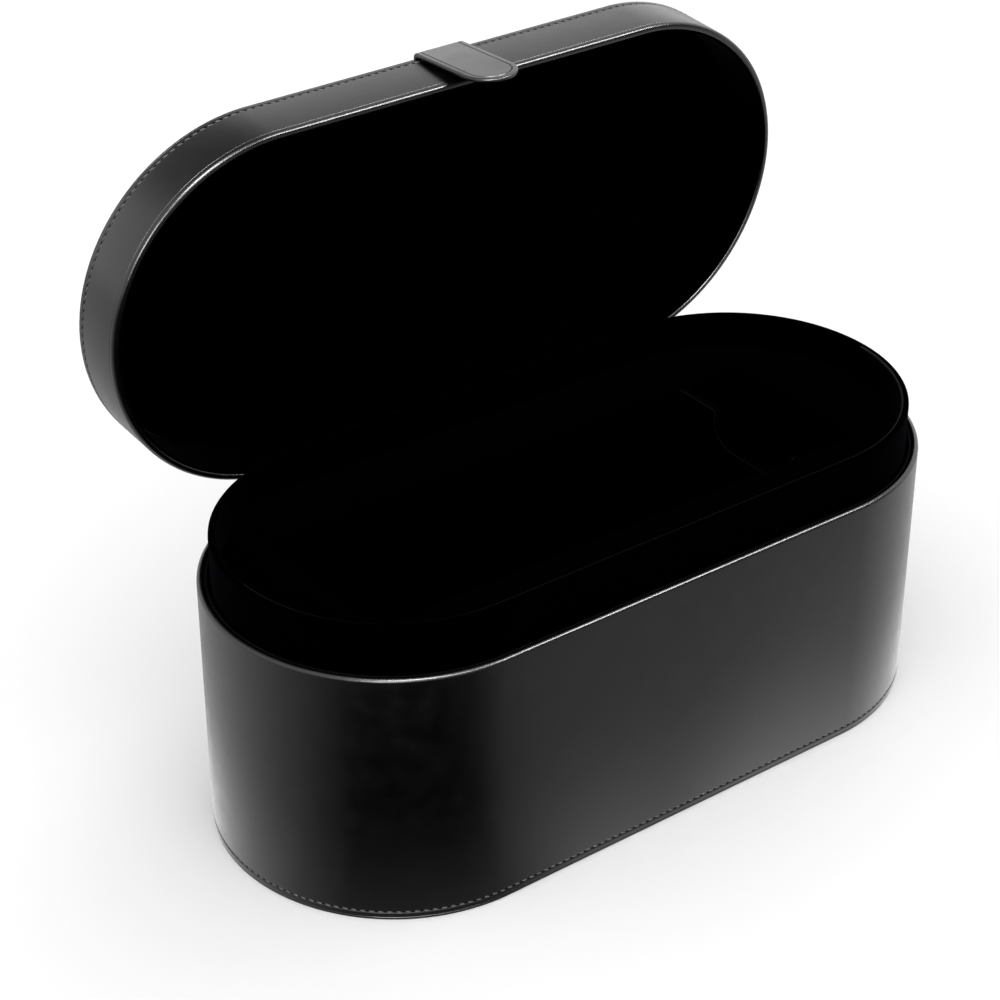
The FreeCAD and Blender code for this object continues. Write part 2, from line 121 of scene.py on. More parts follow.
def finishPiece(piece, smoothAngle=35):
    startClean()
    bpy.context.view_layer.objects.active = piece
    piece.select_set(True)
    bpy.ops.object.transform_apply()
    bpy.ops.object.shade_smooth_by_angle(angle=math.radians(smoothAngle))
    piece.select_set(False)
    return piece


def makeOblong(name, corners, ring=True, spread=True):
    # corners: (inset from the outer face, height, rounding), in order round the section, in metres
    startClean()
    radii = [endRadius - inset for inset, height, rounding in corners]
    sides = outline["arcSides"]
    bpy.ops.mesh.primitive_circle_add(vertices=sides, radius=radii[0], location=(0, 0, corners[0][1]),
                                      rotation=(0, 0, math.pi / sides))
    piece = bpy.context.object
    piece.name = name
    bpy.ops.object.transform_apply()
    bpy.ops.object.mode_set(mode="EDIT")
    bpy.ops.mesh.select_all(action="SELECT")
    path = list(zip(radii, corners))
    if ring:
        path.append(path[0])
    for (radiusNow, now), (radiusNext, after) in zip(path, path[1:]):
        bpy.ops.mesh.extrude_region_move(TRANSFORM_OT_translate={"value": (0, 0, after[1] - now[1])})
        grow = radiusNext / radiusNow
        if grow != 1:
            bpy.ops.transform.resize(value=(grow, grow, 1), center_override=(0, 0, after[1]))
    bpy.ops.mesh.select_all(action="SELECT")
    bpy.ops.mesh.remove_doubles(threshold=oneSpot)

    def pickCircle(radius, height):
        near = 2 * oneSpot
        pickVerts(piece, lambda co: abs(co.xy.length - radius) < near and abs(co.z - height) < near)
    if not ring:
        for radius, corner in (path[0], path[-1]):
            pickCircle(radius, corner[1])
            bpy.ops.mesh.edge_face_add()
    bpy.ops.mesh.select_all(action="SELECT")
    bpy.ops.mesh.normals_make_consistent(inside=False)
    for radius, (inset, height, rounding) in zip(radii, corners):
        if rounding:
            pickCircle(radius, height)
            bpy.ops.mesh.select_mode(type="EDGE")
            bpy.ops.mesh.bevel(offset=rounding, segments=outline["roundSteps"], affect="EDGES")
    if spread:
        spreadHalves(piece)
    bpy.ops.object.mode_set(mode="OBJECT")
    return piece


def spreadHalves(piece):
    # pulls the two half circles apart and cuts the straight sides between them
    for side in (1, -1):
        pickVerts(piece, lambda co: co.x * side > 0)
        bpy.ops.transform.translate(value=(side * endCentre, 0, 0))
    pickEdges(piece, lambda a, b: a.x * b.x < 0)
    bpy.ops.mesh.subdivide(number_cuts=outline["straightCuts"])


def makeBlock(name, low, high, rounding):
    startClean()
    low, high = Vector(low), Vector(high)
    bpy.ops.mesh.primitive_cube_add(size=1, location=(low + high) / 2, scale=high - low)
    piece = bpy.context.object
    piece.name = name
    bpy.ops.object.transform_apply()
    bpy.ops.object.mode_set(mode="EDIT")
    bpy.ops.mesh.select_all(action="SELECT")
    if rounding:
        bpy.ops.mesh.bevel(offset=rounding, segments=3, affect="EDGES")
    bpy.ops.object.mode_set(mode="OBJECT")
    return piece


def cutWith(piece, cutter):
    startClean()
    bpy.context.view_layer.objects.active = piece
    piece.select_set(True)
    cut = piece.modifiers.new("Cut", "BOOLEAN")
    cut.operation = "DIFFERENCE"
    cut.solver = "EXACT"
    cut.object = cutter
    bpy.ops.object.modifier_apply(modifier=cut.name)
    bpy.data.objects.remove(cutter)


def swingOpen(piece):
    # lid pieces are made shut; this turns them about the hinge line to where the lid stands at rest
    editPiece(piece)
    bpy.ops.mesh.select_all(action="SELECT")
    bpy.ops.transform.rotate(value=openAngle, orient_axis="X", center_override=hinge)
    bpy.ops.object.mode_set(mode="OBJECT")
    return piece


def addPiece(piece, body, material=None, replaced=()):
    finishPiece(piece)
    if material:
        piece.data.materials.clear()
        piece.data.materials.append(material)
    if body:
        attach(piece, body)
    if replaced:
        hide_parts(*replaced)
    return piece


def paintFaces(piece, material, wanted):
    # gives the faces that pass the test a finish of their own
    piece.data.materials.append(material)
    place = len(piece.data.materials) - 1
    for face in piece.data.polygons:
        if wanted(face.center, face.normal):
            face.material_index = place


def newMaterial(name):
    material = bpy.data.materials.new(name)
    material.use_nodes = True
    nodes = material.node_tree.nodes
    shader = nodes["Principled BSDF"]
    place = nodes.new("ShaderNodeTexCoord")
    return material, nodes, material.node_tree.links, shader, place.outputs["Object"]


def addNoise(nodes, links, place, scale, detail=3.0, roughness=0.5):
    noise = nodes.new("ShaderNodeTexNoise")
    noise.inputs["Scale"].default_value = scale
    noise.inputs["Detail"].default_value = detail
    noise.inputs["Roughness"].default_value = roughness
    links.new(place, noise.inputs["Vector"])
    return noise.outputs["Fac"]


def addRange(nodes, links, value, low, high):
    span = nodes.new("ShaderNodeMapRange")
    span.inputs["From Min"].default_value = 0.3
    span.inputs["From Max"].default_value = 0.7
    span.inputs["To Min"].default_value = low
    span.inputs["To Max"].default_value = high
    links.new(value, span.inputs["Value"])
    return span.outputs["Result"]


def addTint(nodes, links, value, dark, light):
    tint = nodes.new("ShaderNodeMix")
    tint.data_type = "RGBA"
    tint.inputs["A"].default_value = (*dark, 1)
    tint.inputs["B"].default_value = (*light, 1)
    links.new(value, tint.inputs["Factor"])
    return tint.outputs["Result"]


def addBump(nodes, links, height, depth, strength, under=None):
    bump = nodes.new("ShaderNodeBump")
    bump.inputs["Strength"].default_value = strength
    bump.inputs["Distance"].default_value = depth
    links.new(height, bump.inputs["Height"])
    if under:
        links.new(under, bump.inputs["Normal"])
    return bump.outputs["Normal"]


def addMath(nodes, links, operation, first, second=None):
    # each value is a number or another node's socket
    node = nodes.new("ShaderNodeMath")
    node.operation = operation
    for socket, value in zip(node.inputs, (first, second)):
        if isinstance(value, (int, float)):
            socket.default_value = value
        elif value is not None:
            links.new(value, socket)
    return node.outputs[0]


leatherLook = {
    "dark": (0.0004, 0.0004, 0.0005),
    "light": (0.0009, 0.0009, 0.0011),
    "smooth": 0.22,
    "rough": 0.28,
    "grainSize": 0.75 * mm,
    "grainDepth": 0.012 * mm,
    "poreSize": 0.22 * mm,
    "poreDepth": 0.006 * mm,
    "waveSize": 28 * mm,
    "waveDepth": 0.012 * mm,
    "creaseWidth": 0.25,    # as a share of a grain
}


def makeLeather(name, look, shine=0.0, gloss=1.5):
    material, nodes, links, shader, place = newMaterial(name)
    cloudy = addNoise(nodes, links, place, 1 / look["waveSize"])
    patchy = addNoise(nodes, links, place, 3 / look["waveSize"], 5.0)
    links.new(addTint(nodes, links, patchy, look["dark"], look["light"]), shader.inputs["Base Color"])
    links.new(addRange(nodes, links, patchy, look["smooth"] - shine, look["rough"] - shine),
              shader.inputs["Roughness"])
    grain = nodes.new("ShaderNodeTexVoronoi")
    grain.feature = "DISTANCE_TO_EDGE"
    grain.inputs["Scale"].default_value = 1 / look["grainSize"]
    links.new(place, grain.inputs["Vector"])
    crease = nodes.new("ShaderNodeMapRange")
    crease.inputs["From Max"].default_value = look["creaseWidth"]
    links.new(grain.outputs["Distance"], crease.inputs["Value"])
    pores = addNoise(nodes, links, place, 1 / look["poreSize"], 2.0)
    wave = addBump(nodes, links, cloudy, look["waveDepth"], 1.0)
    fine = addBump(nodes, links, crease.outputs["Result"], look["grainDepth"], 1.0, wave)
    links.new(addBump(nodes, links, pores, look["poreDepth"], 1.0, fine), shader.inputs["Normal"])
    shader.inputs["IOR"].default_value = gloss
    return material


velvetLook = {
    "dark": (0.00002, 0.00002, 0.00004),
    "light": (0.00016, 0.00016, 0.00026),
    "pileSize": 0.35 * mm,
    "pileDepth": 0.12 * mm,
    "brushSize": 22 * mm,
    "sheen": 0.009,
    "sheenTint": (0.80, 0.88, 1.0),
}
# painted highlight: the pile along the collar's front inner edge is painted paler and given more sheen,
# standing in for the light that edge catches
paintedNapHighlightLook = dict(velvetLook, dark=(0.008, 0.008, 0.009), light=(0.022, 0.022, 0.025), sheen=0.04)
# painted highlight, fainter: for the ledge crease, the well opening and the cradle's rounded edges
paintedNapSheenLook = dict(velvetLook, dark=(0.002, 0.002, 0.0025), light=(0.007, 0.007, 0.008), sheen=0.03)


def makeVelvet(name, look):
    material, nodes, links, shader, place = newMaterial(name)
    brushed = addNoise(nodes, links, place, 1 / look["brushSize"], 4.0)
    pile = addNoise(nodes, links, place, 1 / look["pileSize"], 2.0, 0.7)
    links.new(addTint(nodes, links, brushed, look["dark"], look["light"]), shader.inputs["Base Color"])
    links.new(addRange(nodes, links, pile, 0.85, 1.0), shader.inputs["Roughness"])
    links.new(addBump(nodes, links, pile, look["pileDepth"], 0.8), shader.inputs["Normal"])
    shader.inputs["Specular IOR Level"].default_value = 0.0
    shader.inputs["Sheen Weight"].default_value = look["sheen"]
    shader.inputs["Sheen Roughness"].default_value = 0.35
    shader.inputs["Sheen Tint"].default_value = (*look["sheenTint"], 1)
    return material


threadLook = {
    "dark": (0.03, 0.03, 0.032),
    "light": (0.09, 0.09, 0.095),
    "twist": 0.35 * mm,
    "depth": 0.05 * mm,
}


def makeThread(name, look):
    material, nodes, links, shader, place = newMaterial(name)
    fuzz = addNoise(nodes, links, place, 1 / look["twist"], 2.0)
    links.new(addTint(nodes, links, fuzz, look["dark"], look["light"]), shader.inputs["Base Color"])
    links.new(addRange(nodes, links, fuzz, 0.4, 0.6), shader.inputs["Roughness"])
    links.new(addBump(nodes, links, fuzz, look["depth"], 0.7), shader.inputs["Normal"])
    return material


boardLook = {
    "dark": (0.10, 0.095, 0.085),
    "light": (0.20, 0.19, 0.17),
    "fibre": 1.2 * mm,
    "depth": 0.05 * mm,
}


def makeBoard(name, look):
    material, nodes, links, shader, place = newMaterial(name)
    fibres = addNoise(nodes, links, place, 1 / look["fibre"], 5.0, 0.65)
    links.new(addTint(nodes, links, fibres, look["dark"], look["light"]), shader.inputs["Base Color"])
    links.new(addRange(nodes, links, fibres, 0.8, 0.95), shader.inputs["Roughness"])
    links.new(addBump(nodes, links, fibres, look["depth"], 0.6), shader.inputs["Normal"])
    return material


steelLook = {
    "dark": (0.45, 0.45, 0.46),
    "light": (0.62, 0.62, 0.63),
    "smooth": 0.25,
    "rough": 0.4,
    "scratches": 900,    # to the metre
    "depth": 0.01 * mm,
}
magnetLook = dict(steelLook, dark=(0.50, 0.48, 0.44), light=(0.66, 0.64, 0.60), smooth=0.15, rough=0.25)


def makeMetal(name, look):
    material, nodes, links, shader, place = newMaterial(name)
    brushed = addNoise(nodes, links, place, look["scratches"], 4.0)
    links.new(addTint(nodes, links, brushed, look["dark"], look["light"]), shader.inputs["Base Color"])
    links.new(addRange(nodes, links, brushed, look["smooth"], look["rough"]), shader.inputs["Roughness"])
    links.new(addBump(nodes, links, brushed, look["depth"], 0.4), shader.inputs["Normal"])
    shader.inputs["Metallic"].default_value = 1.0
    return material


caseLeather = makeLeather("caseLeather", leatherLook)
edgeLeather = makeLeather("edgeLeather", leatherLook, 0.04)
claspLeather = makeLeather("claspLeather", leatherLook, -0.06, 1.54)
blackVelvet = makeVelvet("blackVelvet", velvetLook)
# painted highlights for lit velvet edges, and painted shade for the needle holes
paintedNapHighlight = makeVelvet("paintedNapHighlight", paintedNapHighlightLook)
paintedNapSheen = makeVelvet("paintedNapSheen", paintedNapSheenLook)
paintedHoleShade = makeVelvet("paintedHoleShade", velvetLook)
sewingThread = makeThread("sewingThread", threadLook)
greyBoard = makeBoard("greyBoard", boardLook)
platedSteel = makeMetal("platedSteel", steelLook)
nickelMagnet = makeMetal("nickelMagnet", magnetLook)
print("materials made")

channelEdge = 0.25 * mm       # rounding of a sewn channel's two edges
channelBottom = 0.3 * mm      # and of its bottom


def channelCorners(size, seam):
    # the corners of the shallow channel that a sewn line pulls into the leather
    half = size["channelWidth"] / 2
    return [
        (0, seam - half, channelEdge),
        (size["channelDepth"], seam, channelBottom),
        (0, seam + half, channelEdge),
    ]


bodyWall = {
    "leather": 1.2 * mm,
    "footRound": 0.35 * mm,
    "rimWidth": 2.2 * mm,
    "turnDown": 2.8 * mm,
    "rimRound": 1.75 * mm,
    "innerRound": 0.4 * mm,
    "seamUp": 4.4 * mm,       # height of the sewn line above the table
    "channelWidth": 1.8 * mm,
    "channelDepth": 0.45 * mm,
}


def makeBodyLeather():
    size = bodyWall
    foot = skinLow.z
    corners = [
        (size["leather"], foot, 0),
        (0, foot, size["footRound"]),
        *channelCorners(size, size["seamUp"]),
        (0, rimTop, size["rimRound"]),
        (size["rimWidth"], rimTop, size["innerRound"]),
        (size["rimWidth"], rimTop - size["turnDown"], 0),
        (size["leather"], rimTop - size["turnDown"], 0),
    ]
    piece = makeOblong("bodyLeather", corners)
    addPiece(piece, "case_body", caseLeather, ["body_skin", "rim_binding"])


basePanel = {
    "edgeRound": 0.6 * mm,
    "tuckIn": 0.15 * mm,
}


def makeBasePanel():
    low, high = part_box("base_panel")
    corners = [
        (basePanel["tuckIn"], low.z, basePanel["edgeRound"]),
        (basePanel["tuckIn"], high.z, basePanel["edgeRound"]),
    ]
    piece = makeOblong("basePanelLeather", corners, ring=False)
    addPiece(piece, "case_body", edgeLeather, ["base_panel"])


ledge = {
    "inner": 6.15 * mm,       # from the case's outer face to the ledge's inner edge
    "edgeRound": 0.4 * mm,
    "creaseIn": 1.6 * mm,
    "creaseHalf": 0.5 * mm,
    "creaseDeep": 0.3 * mm,
}


def makeLedge():
    size = ledge
    low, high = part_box("ledge_strip")
    outer = endRadius - high.y
    crease = outer + size["creaseIn"]
    corners = [
        (outer, low.z, 0),
        (outer, high.z, size["edgeRound"]),
        (crease - size["creaseHalf"], high.z, 0),
        (crease, high.z - size["creaseDeep"], 0),
        (crease + size["creaseHalf"], high.z, 0),
        (size["inner"], high.z, 0),
        (size["inner"], low.z, 0),
    ]
    piece = makeOblong("ledgeVelvet", corners)
    addPiece(piece, "case_body", blackVelvet, ["ledge_strip"])
    # painted highlight: the upward slopes of the crease get the paler pile, standing in for the faint lit
    # line there
    slopeFoot = high.z - size["creaseDeep"]
    paintFaces(piece, paintedNapSheen, lambda centre, normal: 0.3 < normal.z < 0.95 and centre.z > slopeFoot)


collar = {
    "velvet": 0.8 * mm,
    "board": 2.0 * mm,
    "topRound": 1.4 * mm,
}


def makeCollar():
    low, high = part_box("collar_velvet")
    outer = endRadius - high.y
    inner = outer + 2 * collar["velvet"] + collar["board"]
    boardTop = high.z - collar["velvet"]
    corners = [
        (outer, low.z, 0),
        (outer, high.z, collar["topRound"]),
        (inner, high.z, collar["topRound"]),
        (inner, low.z, 0),
        (inner - collar["velvet"], low.z, 0),
        (inner - collar["velvet"], boardTop, 0),
        (outer + collar["velvet"], boardTop, 0),
        (outer + collar["velvet"], low.z, 0),
    ]
    piece = makeOblong("collarVelvet", corners)
    addPiece(piece, "case_body", blackVelvet, ["collar_velvet"])

    # painted highlight: only the front half of the collar's inner top rounding gets the paler, shinier
    # pile, where the light catches it
    def onInnerEdge(centre, normal):
        across = Vector((max(abs(centre.x) - endCentre, 0) * math.copysign(1, centre.x), centre.y, 0))
        inward = -normal.dot(across.normalized())
        return centre.y < 0 and centre.z > high.z - collar["topRound"] and 0.5 < inward < 0.9
    paintFaces(piece, paintedNapHighlight, onInnerEdge)


floorPad = {
    "footRound": 0.4 * mm,
    "topRound": 0.9 * mm,
}


def makeFloorPad():
    low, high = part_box("floor_pad")
    outer = endRadius - high.y
    corners = [(outer, low.z, floorPad["footRound"]), (outer, high.z, floorPad["topRound"])]
    piece = makeOblong("floorPadVelvet", corners, ring=False)
    addPiece(piece, "case_body", blackVelvet, ["floor_pad"])


insert = {
    "rimRound": 0.35 * mm,
    "edgeRound": 0.7 * mm,
    "boardRound": 0.5 * mm,
    "slack": 0.1 * mm,      # how near the opening's edge a corner counts as on it
}


def makeDeckVelvet():
    low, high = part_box("deck_velvet")
    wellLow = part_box("well_wall_left")[1]
    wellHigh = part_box("well_wall_right")[0]
    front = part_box("well_wall_front")[1].y
    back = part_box("well_wall_back")[0].y
    outer = endRadius - high.y
    piece = makeOblong("deckVelvet", [(outer, low.z, 0), (outer, high.z, insert["rimRound"])], ring=False)
    cutter = makeBlock("wellCutter", (wellLow.x, front, low.z - mm), (wellHigh.x, back, high.z + mm), 0)
    cutWith(piece, cutter)
    editPiece(piece)
    slack = insert["slack"]

    def onOpening(co):
        return (wellLow.x - slack < co.x < wellHigh.x + slack and front - slack < co.y < back + slack
                and co.z > high.z - slack)
    pickVerts(piece, onOpening)
    bpy.ops.mesh.select_mode(type="EDGE")
    bpy.ops.mesh.bevel(offset=insert["edgeRound"], segments=outline["roundSteps"], affect="EDGES")
    bpy.ops.object.mode_set(mode="OBJECT")
    addPiece(piece, "case_body", blackVelvet, ["deck_velvet"])
    # painted highlight: the rounded rim of the well opening gets the paler pile, standing in for the light
    # it catches
    paintFaces(piece, paintedNapSheen, lambda centre, normal: 0.3 < normal.z < 0.97 and onOpening(centre))


def makeWells():
    for side in ("Front", "Back", "Left", "Right"):
        node = "well_wall_" + side.lower()
        low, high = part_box(node)
        piece = makeBlock("wellWall" + side, low, high, insert["boardRound"])
        addPiece(piece, "case_body", blackVelvet, [node])


cradle = {
    "across": -12.5 * mm,
    "halfWidth": 28.0 * mm,
    "depth": 17.5 * mm,
    "cornerRound": 13.0 * mm,
}


def makePartition():
    low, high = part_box("well_partition")
    piece = makeBlock("wellPartition", low, high, 0)
    start = Vector((low.x - mm, cradle["across"] - cradle["halfWidth"], high.z - cradle["depth"]))
    end = Vector((high.x + mm, cradle["across"] + cradle["halfWidth"], high.z + cradle["cornerRound"]))
    cutter = makeBlock("cradleCutter", start, end, 0)
    editPiece(cutter)
    pickEdges(cutter, lambda a, b: abs(a.x - b.x) > mm and a.z < high.z and b.z < high.z)
    bpy.ops.mesh.bevel(offset=cradle["cornerRound"], segments=12, affect="EDGES")
    bpy.ops.object.mode_set(mode="OBJECT")
    cutWith(piece, cutter)
    editPiece(piece)
    pickFaces(piece, lambda centre, normal: abs(normal.x) > 0.9)
    bpy.ops.mesh.select_mode(type="EDGE")
    dip = high.z - cradle["depth"]
    pickEdges(piece, lambda a, b: abs(a.x - b.x) < oneSpot and max(a.z, b.z) > dip - mm)
    bpy.ops.mesh.bevel(offset=insert["boardRound"], segments=3, affect="EDGES")
    bpy.ops.object.mode_set(mode="OBJECT")
    addPiece(piece, "case_body", blackVelvet, ["well_partition"])
    # painted highlight: the cradle's rounded edges get the paler pile
    paintFaces(piece, paintedNapSheen, lambda centre, normal: 0.3 < abs(normal.x) < 0.97)


makeBodyLeather()
makeBasePanel()
makeLedge()
makeCollar()
makeFloorPad()
makeDeckVelvet()
makeWells()
makePartition()
print("case body made")

lid = {
    "leather": 1.2 * mm,
    "footRound": 0.25 * mm,
    "topRound": 0.3 * mm,
    "panel": 1.2 * mm,
    "panelIn": 0.1 * mm,
    "panelFoot": 0.2 * mm,
    "panelRound": 0.55 * mm,
    "lipWidth": 3.4 * mm,
    "lipDeep": 2.8 * mm,
    "lipRound": 1.9 * mm,
    "lipInner": 0.9 * mm,
    "seamDown": 3.4 * mm,      # from the top of the lid to the sewn line
    "channelWidth": 1.7 * mm,
    "channelDepth": 0.4 * mm,
    "wallBoard": 2.4 * mm,
    "topBoard": 1.6 * mm,
    "glue": 0.15 * mm,
    "velvet": 0.8 * mm,
    "liningDrop": 0.8 * mm,    # the lining's edge stands this far inside the lip
    "liningGap": 0.05 * mm,
    "liningRound": 0.25 * mm,
    "skirtRound": 0.8 * mm,
    "padRound": 0.4 * mm,
}


def makeLidLeather():
    size = lid
    foot = closedLidFoot + size["lipDeep"]
    top = closedLidTop - size["panel"]
    corners = [
        (size["leather"], foot, 0),
        (0, foot, size["footRound"]),
        *channelCorners(size, closedLidTop - size["seamDown"]),
        (0, top, size["topRound"]),
        (size["leather"], top, 0),
    ]
    piece = swingOpen(makeOblong("lidLeather", corners))
    addPiece(piece, "lid", caseLeather, ["lid_skin"])
    panel = [(size["panelIn"], top, size["panelFoot"]), (size["panelIn"], closedLidTop, size["panelRound"])]
    piece = swingOpen(makeOblong("lidTopLeather", panel, ring=False))
    addPiece(piece, "lid", caseLeather, ["lid_top_panel"])
    lip = [
        (0, closedLidFoot, size["lipRound"]),
        (0, foot, size["footRound"]),
        (size["lipWidth"], foot, 0),
        (size["lipWidth"], closedLidFoot, size["lipInner"]),
    ]
    piece = swingOpen(makeOblong("lidLip", lip))
    addPiece(piece, "lid", edgeLeather, ["lid_mouth_binding"])


def makeLidLining():
    size = lid
    boardFoot = closedLidTop - size["panel"] - size["topBoard"]
    foot = closedLidFoot + size["liningDrop"]
    ledgeTop = closedLidFoot + size["lipDeep"]
    outer = size["leather"] + 2 * size["glue"] + size["wallBoard"]
    inner = outer + size["velvet"]
    edge = size["lipWidth"] + size["liningGap"]
    corners = [
        (outer, boardFoot, 0),
        (outer, ledgeTop, 0),
        (edge, ledgeTop, 0),
        (edge, foot, size["liningRound"]),
        (inner, foot, size["skirtRound"]),
        (inner, boardFoot, 0),
    ]
    piece = swingOpen(makeOblong("lidSkirtVelvet", corners))
    addPiece(piece, "lid", blackVelvet, ["lid_skirt_lining"])
    outer = inner + size["glue"]
    pad = [(outer, boardFoot - size["velvet"], size["padRound"]), (outer, boardFoot, 0)]
    piece = swingOpen(makeOblong("lidTopVelvet", pad, ring=False))
    addPiece(piece, "lid", blackVelvet, ["lid_top_lining"])


makeLidLeather()
makeLidLining()
print("lid made")

# the clasp is one strap from the top of the lid, over its front edge, to the round end with the magnet
clasp = {
    "along": 3.7 * mm,     # how far it stands off the middle of the lid
    "width": 27.0 * mm,
    "root": 34.0 * mm,
    "reach": 51.5 * mm,
    "thick": 2.1 * mm,
    "tilt": 6.5,           # degrees that the tongue leans off the skirt
    "bendRadius": 0.3 * mm,
    "bendSteps": 6,
    "bendStart": Vector((0, 2.1, 0.15)) * mm,    # where the curl begins and ends, from the joint's line
    "bendEnd": Vector((0, 0.2, 2.2)) * mm,
    "tipSteps": 14,
    "edgeRound": 0.85 * mm,
    "rolledEdge": 2.5 * mm,
    "grooveWidth": 0.42 * mm,
    "grooveDepth": 0.7 * mm,
}


def bendOver(piece, pivot, along, length, sweep, steps, cut=True):
    # curls what lies beyond the pivot line, in equal steps, each about a line on the inner face
    turn = sweep / steps
    lines = [pivot + along * (length * step / steps) for step in range(steps + 1)]
    editPiece(piece)
    if cut:
        for line in lines:
            bpy.ops.mesh.select_all(action="SELECT")
            bpy.ops.mesh.bisect(plane_co=line, plane_no=along)
    for line in reversed(lines[:-1]):
        pickVerts(piece, lambda co: (co - line).dot(along) > 10 * oneSpot)
        bpy.ops.transform.rotate(value=turn, orient_axis="X", center_override=line)
    bpy.ops.object.mode_set(mode="OBJECT")


def makeClaspStrap():
    size = clasp
    half = size["width"] / 2
    foot = closedLidTop
    top = foot + size["thick"]
    rootEnd = -endRadius + size["root"]
    tipEnd = -endRadius - claspBend - size["reach"]
    piece = makeBlock("claspStrap", (-half, tipEnd, foot), (half, rootEnd, top), 0)
    editPiece(piece)
    pickEdges(piece, lambda a, b: abs(a.z - b.z) > mm and a.y < tipEnd + mm)
    # just short of half the width, so that the round end's last two corners can be merged
    bpy.ops.mesh.bevel(offset=half * 0.998, segments=size["tipSteps"], affect="EDGES")
    bpy.ops.mesh.select_all(action="SELECT")
    bpy.ops.mesh.remove_doubles(threshold=0.1 * mm)
    pickEdges(piece, lambda a, b: abs(a.z - b.z) < oneSpot)
    bpy.ops.mesh.bevel(offset=size["edgeRound"], segments=outline["roundSteps"], affect="EDGES")
    pickFaces(piece, lambda centre, normal: normal.z > 0.9 and centre.z > top - 10 * oneSpot)
    bpy.ops.mesh.inset(thickness=size["rolledEdge"] - size["edgeRound"])
    bpy.ops.mesh.inset(thickness=size["grooveWidth"], depth=-size["grooveDepth"])
    bpy.ops.mesh.inset(thickness=size["grooveWidth"], depth=size["grooveDepth"])
    bpy.ops.object.mode_set(mode="OBJECT")
    return piece


def finishClasp(piece, cut):
    pivot = Vector((0, -endRadius, closedLidTop))
    bendOver(piece, pivot, Vector((0, -1, 0)), claspBend, -claspSweep, clasp["bendSteps"], cut)
    editPiece(piece)
    bpy.ops.mesh.select_all(action="SELECT")
    bpy.ops.transform.translate(value=(clasp["along"], 0, 0))
    bpy.ops.object.mode_set(mode="OBJECT")
    return swingOpen(piece)


claspSweep = math.radians(90 - clasp["tilt"])
claspBend = clasp["bendRadius"] * claspSweep


def blendClasp(piece):
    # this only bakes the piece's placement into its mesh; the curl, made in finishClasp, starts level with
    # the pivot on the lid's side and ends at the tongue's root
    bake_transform(piece)


strap = finishClasp(makeClaspStrap(), True)
addPiece(strap, None, claspLeather,
         ["clasp_root", "clasp_bend", "clasp_outer_leather", "clasp_inner_leather"])
blendClasp(strap)
print("clasp made")

# the soft hinge is a leather strip outside and a velvet strip inside, both curled about the hinge line
softHinge = {
    "halfLength": 95.0 * mm,
    "leg": 18.0 * mm,
    "radius": 3.8 * mm,
    "leather": 1.0 * mm,
    "edgeRound": 0.4 * mm,
    "liningRadius": 4.55 * mm,
    "liningThick": 0.6 * mm,
    "liningRound": 0.15 * mm,
    "liningSweep": 40,     # degrees
    "steps": 14,
}


def makeHingeStrip():
    size = softHinge
    curl = size["radius"] * openAngle
    wall = hinge.y - size["radius"]
    low = (-size["halfLength"], wall, hinge.z - size["leg"])
    high = (size["halfLength"], wall + size["leather"], hinge.z + curl + size["leg"])
    piece = makeBlock("hingeLeather", low, high, size["edgeRound"])
    bendOver(piece, Vector((0, wall, hinge.z)), Vector((0, 0, 1)), curl, openAngle, size["steps"])
    addPiece(piece, None, caseLeather, ["hinge_strip"])
    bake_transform(piece)


def makeHingeLining():
    size = softHinge
    sweep = math.radians(size["liningSweep"])
    curl = size["liningRadius"] * sweep
    wall = hinge.y - size["liningRadius"]
    low = (-size["halfLength"], wall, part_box("hinge_lining")[0].z)
    high = (size["halfLength"], wall + size["liningThick"], hinge.z + curl)
    piece = makeBlock("hingeVelvet", low, high, size["liningRound"])
    bendOver(piece, Vector((0, wall, hinge.z)), Vector((0, 0, 1)), curl, sweep, size["steps"])
    addPiece(piece, None, blackVelvet, ["hinge_lining"])
    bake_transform(piece)


makeHingeStrip()
makeHingeLining()
print("soft hinge made")

seam = {
    "pitch": 4.1 * mm,
    "length": 2.7 * mm,
    "thick": 0.72 * mm,
    "proud": 0.16 * mm,    # how far the thread stands off the bottom of its channel
    "slant": 11,           # degrees
    "hole": 1.0 * mm,
    "holeShape": (1, 0.35, 0.9),   # along the seam, deep, high
    "sunk": 0.6,                   # how far the hole sits in, as a share of the thread's stand
    "claspPitch": 0.85,            # the clasp's stitches are this much closer
}


def placeOnOblong(travel, radius):
    # walks round the outline from the front left, and gives a point and the way it faces
    straight = 2 * endCentre
    arc = math.pi * radius
    if travel < straight:
        return Vector((travel - endCentre, -radius, 0)), Vector((0, -1, 0))
    travel -= straight
    if travel < arc:
        angle = travel / radius
        out = Vector((math.sin(angle), -math.cos(angle), 0))
        return Vector((endCentre, 0, 0)) + out * radius, out
    travel -= arc
    if travel < straight:
        return Vector((endCentre - travel, radius, 0)), Vector((0, 1, 0))
    angle = (travel - straight) / radius
    out = Vector((-math.sin(angle), math.cos(angle), 0))
    return Vector((-endCentre, 0, 0)) + out * radius, out


def makeStitch():
    startClean()
    bpy.ops.mesh.primitive_uv_sphere_add(segments=8, ring_count=6, radius=0.5, rotation=(0, math.pi / 2, 0))
    stitch = bpy.context.object
    bpy.ops.object.transform_apply()
    bpy.ops.object.mode_set(mode="EDIT")
    bpy.ops.mesh.select_all(action="SELECT")
    middle = (0, 0, 0)
    bpy.ops.transform.resize(value=(seam["length"], seam["thick"], seam["thick"]), center_override=middle)
    bpy.ops.transform.rotate(value=math.radians(seam["slant"]), orient_axis="Y", center_override=middle)
    bpy.ops.object.mode_set(mode="OBJECT")
    return stitch


